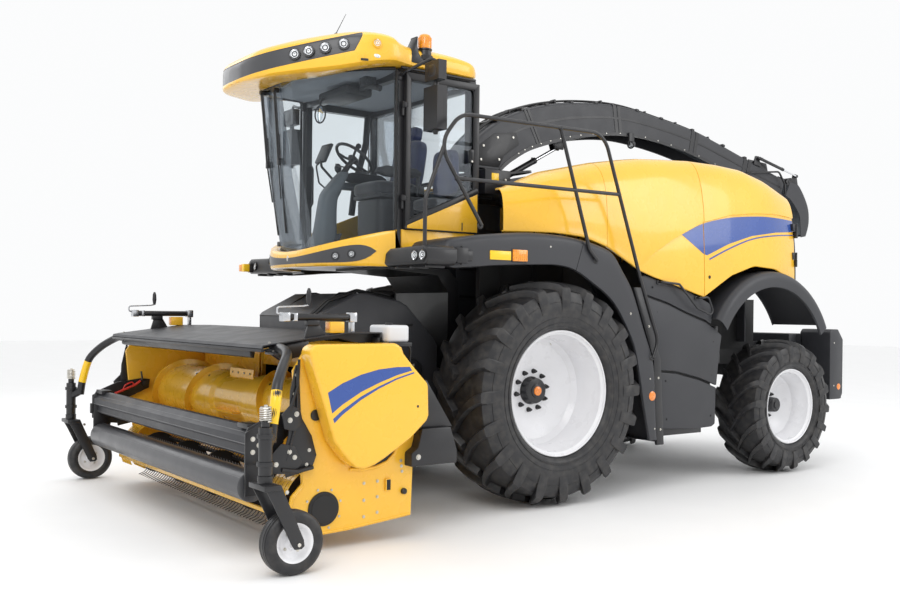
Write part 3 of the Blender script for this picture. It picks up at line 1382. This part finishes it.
def feeder_house(lift):
    """The housing behind the header, its trunnions, and the pair of rams that lift it."""
    solids = [plate(FEEDER_SIDE, "x", -FEEDER_HALF, FEEDER_HALF)]
    for sign in (1, -1):
        solids.append(side_plate(sign, FEEDER_ARM, FEEDER_HALF - 0.06, FEEDER_HALF))
        ends = (FEEDER_HALF - 0.02, FEEDER_HALF + 0.02 - SEAT_GAP)
        solids.append(side_rod(sign, LIFT_PIVOT_Y, LIFT_PIVOT_Z, *ends, 0.07))
        solids.append(side_plate(sign, FEEDER_LUG, 0.445, 0.485))
    throat = box(
        (-THROAT_HALF, HEADER_BACK_Y - 0.1, THROAT_BOTTOM), (THROAT_HALF, HEADER_BACK_Y + 0.45, THROAT_TOP)
    )
    node("feeder_house", solids, DARK, lift, cuts=[throat])

    base_y, base_z, eye_y, eye_z, side_x = HEADER_RAM[:5]
    barrels, rods = ram(HEADER_RAM)
    axis = pivot("header_ram_axis", (0, base_y, base_z), machine)
    end = side_x + 0.06
    shaft = rod((-end, base_y, base_z), (end, base_y, base_z), HEADER_RAM_SHAFT, segments=20)
    node("header_ram_barrels", [shaft] + barrels, FRAME_BLACK, axis)
    axis = pivot("header_ram_rods_axis", (0, eye_y, eye_z), axis)
    end = side_x + 0.036
    shaft = rod((-end, eye_y, eye_z), (end, eye_y, eye_z), HEADER_RAM_SHAFT, segments=12)
    node("header_ram_rods", [shaft] + rods, STEEL, axis)


def header_top_frame(lift):
    """The dark plate over the auger, with the two tubes that carry the castors."""
    half = HEADER_HALF - 0.12
    solids = [plate(TOP_PLATE, "x", -half, half)]
    for sign in (1, -1):
        route = [
            at(sign, HEADER_HALF - 0.20, -2.84, 1.455),
            at(sign, HEADER_HALF + 0.10, -2.88, 1.42),
            at(sign, HEADER_HALF + 0.35, -3.09, 1.22),
            at(sign, HEADER_HALF + 0.37, -3.13, 0.86),
        ]
        solids.append(tube(route, 0.032, bend=0.14, resolution=1))
        solids.append(upright(sign, CASTOR_X, CASTOR_Y, CASTOR_JOINT_Z, 1.02, 0.045, segments=14))
        foot, post = at(sign, HEADER_HALF + 0.36, -3.12, 0.90), at(sign, CASTOR_X, CASTOR_Y, 0.84)
        solids.append(rod(foot, post, 0.040, segments=12))
    node("header_top_frame", solids, FRAME_BLACK, lift)


def flight(sign, start, end, turns, thickness=0.012, steps_per_turn=12):
    """A helical blade on the auger's drum, from start to end along its axis."""
    steps = round(turns * steps_per_turn)
    root, tip = AUGER_DRUM_RADIUS - 0.02, AUGER_FLIGHT_RADIUS
    sections = []
    for i in range(steps + 1):
        angle = 2 * math.pi * turns * i / steps
        x = start + (end - start) * i / steps
        section = []
        for radius, side in ((root, -1), (tip, -1), (tip, 1), (root, 1)):
            y = AUGER_Y + radius * math.cos(angle)
            z = AUGER_Z + radius * math.sin(angle)
            section.append((sign * (x + side * thickness / 2), y, z))
        sections.append(section)
    return loft(sections)


def auger(lift):
    axis = pivot("auger_axis", (0, AUGER_Y, AUGER_Z), lift)
    end = HEADER_HALF - SEAT_GAP
    neck = end - 0.02
    right = [(end, 0.0), (end, 0.05), (neck, 0.05), (neck, AUGER_DRUM_RADIUS)]
    profile = right + [(-along, radius) for along, radius in reversed(right)]
    solids = [turned(profile, (0, AUGER_Y, AUGER_Z), steps=16)]
    for sign in (1, -1):
        solids.append(flight(sign, 0.22, AUGER_FLIGHT_END, 2.0))
    node("auger", solids, YELLOW, axis)


def pickup_reel(lift):
    """The pick-up's shaft with four tine bars; single tines are left to the look."""
    axis = pivot("pickup_reel_axis", (0, REEL_Y, REEL_Z), lift)
    end = HEADER_HALF - SEAT_GAP
    middle = Vector((0, REEL_Y, REEL_Z))
    solids = [rod(middle - AXES["x"] * end, middle + AXES["x"] * end, 0.05, segments=12)]
    for i in range(4):
        angle = math.radians(45 + 90 * i)
        outward = Vector((0, math.cos(angle), math.sin(angle)))
        sideways = Vector((0, -math.sin(angle), math.cos(angle)))
        corners = ((0.02, 0.012), (REEL_TIP_RADIUS, 0.005), (REEL_TIP_RADIUS, -0.005), (0.02, -0.012))
        sections = [
            [middle + AXES["x"] * x + outward * reach + sideways * half for reach, half in corners]
            for x in (-REEL_HALF, REEL_HALF)
        ]
        solids.append(loft(sections))
    node("pickup_reel", solids, FRAME_BLACK, axis)


# The arm that carries the wind guard's bar and the crop roller, as (y, z)
GUARD_ARM = (
    (-2.56, 0.94),
    (-2.56, 1.02),
    (-2.90, 1.00),
    (-3.12, 0.90),
    (-3.12, 0.44),
    (-2.98, 0.44),
    (-2.94, 0.72),
    (-2.80, 0.84),
)


def wind_guard(lift):
    """The bar in front of the pick-up on its two arms, and the crop roller under it."""
    axis = pivot("wind_guard_axis", (0, GUARD_PIVOT_Y, GUARD_PIVOT_Z), lift)
    arm_x = HEADER_HALF - 0.035
    solids = [box((-arm_x, -3.12, 0.70), (arm_x, -2.94, 0.92))]
    for sign in (1, -1):
        solids.append(side_plate(sign, GUARD_ARM, arm_x - 0.02, arm_x))
        ends = (arm_x - 0.01, HEADER_HALF - SEAT_GAP)
        solids.append(side_rod(sign, GUARD_PIVOT_Y, GUARD_PIVOT_Z, *ends, 0.035))
    node("wind_guard", solids, FRAME_BLACK, axis)

    roller_axis = pivot("crop_roller_axis", (0, ROLLER_Y, ROLLER_Z), axis)
    end = arm_x - 0.02 - SEAT_GAP
    shaft = side_rod(1, ROLLER_Y, ROLLER_Z, -end, end, 0.03, segments=12)
    drum = side_rod(1, ROLLER_Y, ROLLER_Z, -end + 0.02, end - 0.02, ROLLER_RADIUS, segments=20)
    node("crop_roller", [drum, shaft], DARK, roller_axis)


FORK_HALF = 0.12
FORK_CHEEK = 0.015
FORK_FRONT_Y = CASTOR_Y - 0.06
FORK_REAR_Y = CASTOR_Y + 0.06


def gauge_wheel(side, sign, lift):
    """A castor: its fork, which swivels about an upright pin, and the wheel between the cheeks."""
    swivel = pivot(f"castor_{side}_axis", at(sign, CASTOR_X, CASTOR_Y, CASTOR_JOINT_Z), lift)
    neck = upright(sign, CASTOR_X, CASTOR_Y, 0.58, CASTOR_JOINT_Z - SEAT_GAP, 0.05, segments=14)
    crown_ends = (CASTOR_X - FORK_HALF, CASTOR_X + FORK_HALF)
    solids = [neck, side_box(sign, *crown_ends, FORK_FRONT_Y, FORK_REAR_Y, 0.57, 0.61)]
    foot = GAUGE_RADIUS - 0.03
    cheek = [(FORK_FRONT_Y, 0.60), (FORK_REAR_Y, 0.60), (GAUGE_Y + 0.03, foot), (GAUGE_Y - 0.05, foot)]
    for x in (CASTOR_X - FORK_HALF, CASTOR_X + FORK_HALF - FORK_CHEEK):
        solids.append(side_plate(sign, cheek, x, x + FORK_CHEEK))
    node(f"castor_fork_{side}", solids, FRAME_BLACK, swivel)

    centre = at(sign, CASTOR_X, GAUGE_Y, GAUGE_RADIUS)
    axle = pivot(f"gauge_wheel_{side}_axis", centre, swivel)
    half = GAUGE_WIDTH / 2
    hub = FORK_HALF - FORK_CHEEK - SEAT_GAP
    profile = [
        (hub, 0.0),
        (hub, 0.03),
        (half * 0.6, 0.04),
        (half * 0.6, 0.12),
        (half, 0.13),
        (half, 0.18),
        (half * 0.6, GAUGE_RADIUS),
    ]
    profile += [(-along, radius) for along, radius in reversed(profile)]
    node(f"gauge_wheel_{side}", [turned(profile, centre, steps=20)], RUBBER, axle)


def centre_on_box():
    """Moves the machine so that the world origin is the bottom centre of its box."""
    bpy.context.view_layer.update()
    pieces = [obj for obj in parts.objects if obj.type == "MESH"]
    corners = [obj.matrix_world @ Vector(c) for obj in pieces for c in obj.bound_box]
    middle = (min(c.y for c in corners) + max(c.y for c in corners)) / 2
    machine.location.y -= middle
    print("machine shifted along Y by", -middle)


clear_scene()
parts = new_collection("forage_harvester")
workshop = new_collection("workshop")
machine = bpy.data.objects.new("machine", None)
parts.objects.link(machine)

chassis()
engine()
front_axle()
rear_axle()
both_sides(front_wheel)
both_sides(knuckle)
steering_rod()
cab_shell()
windscreen()
cab_glass()
cab_nose()
cab_roof()
driver_seat()
steering_console()
cab_door()
both_sides(side_panels)
hood()
both_sides(front_fender)
both_sides(rear_fender)
rear_bumper()
handrail()
ladder()
spout()
header()
centre_on_box()
